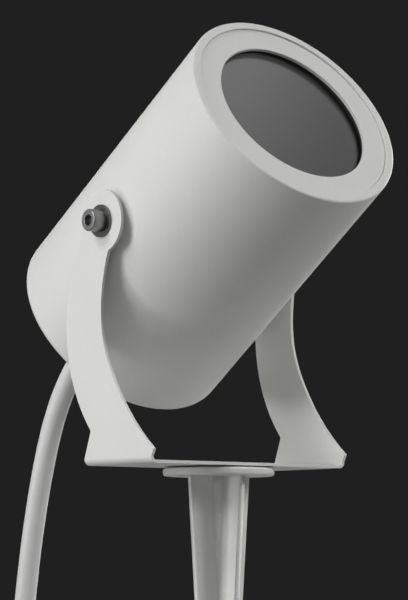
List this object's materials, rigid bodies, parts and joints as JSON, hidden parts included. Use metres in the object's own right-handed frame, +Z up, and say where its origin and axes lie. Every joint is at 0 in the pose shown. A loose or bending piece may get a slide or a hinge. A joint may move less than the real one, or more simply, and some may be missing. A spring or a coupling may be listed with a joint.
{
  "type": "garden spotlight on ground spike",
  "caption": "Outdoor spotlight with a round tilting housing in a curved sheet yoke, on a ribbed ground spike, with a mains lead and plug.",
  "frame": {"origin": "the tip of the ground spike, on the stake's axis", "axes": "+Z up the stake, +X along the tilt axis, the light shines towards -Y and upwards, the lead leaves towards +Y"},
  "size_m": [0.1842, 0.2579, 0.3739],
  "materials": {
    "paint": "fine-textured matt powder coat",
    "black_rubber": "matt",
    "steel": "satin",
    "zinc": "black zinc, satin",
    "glass": "clear toughened, smooth",
    "aluminium": "satin",
    "phosphor": "smooth",
    "white_plastic": "smooth",
    "grey_rubber": "matt",
    "grey_plastic": "smooth",
    "lead_insulation": "smooth",
    "black_plastic": "fine texture"
  },
  "bodies": {
    "stake": {"ground_spike": "paint", "swivel_washer": "black_rubber", "swivel_screw": "steel"},
    "yoke": {"yoke_bracket": "paint", "cable_drop": "grey_rubber", "cable_coil": "grey_rubber", "coil_tie": "black_rubber", "cable_tail": "grey_rubber", "plug_body": "black_rubber", "plug_pins": "steel", "plug_earth_strips": "steel"},
    "housing": {"housing_shell": "paint", "front_bezel": "paint", "front_seal": "black_rubber", "front_glass": "glass", "glass_gasket": "black_rubber", "glass_seat_ring": "aluminium", "reflector": "aluminium", "led_chip": "phosphor", "led_board": "white_plastic", "thermal_pad": "grey_rubber", "led_leads": "lead_insulation", "heat_plate": "aluminium", "heat_plate_screws": "steel", "driver_case": "black_plastic", "terminal_block": "white_plastic", "pivot_inserts": "steel", "pivot_spacers": "white_plastic", "flat_washers": "zinc", "spring_washers": "zinc", "pivot_screws": "zinc", "gland_body": "grey_plastic", "gland_seal": "black_rubber", "gland_locknut": "grey_plastic", "gland_nut": "grey_plastic", "cable_boot": "black_rubber", "cable_inner_end": "grey_rubber"}
  },
  "joints": [
    {"name": "yoke_swivel", "type": "hinge", "parent": "stake", "child": "yoke", "pos_m": [0, 0, 0.2046], "axis": [0, 0, 1], "range_deg": [-175, 175]},
    {"name": "housing_tilt", "type": "hinge", "parent": "yoke", "child": "housing", "pos_m": [0, 0.012, 0.2969], "axis": [-1, 0, 0], "range_deg": [-35, 39], "deforming": ["cable_drop"]}
  ]
}
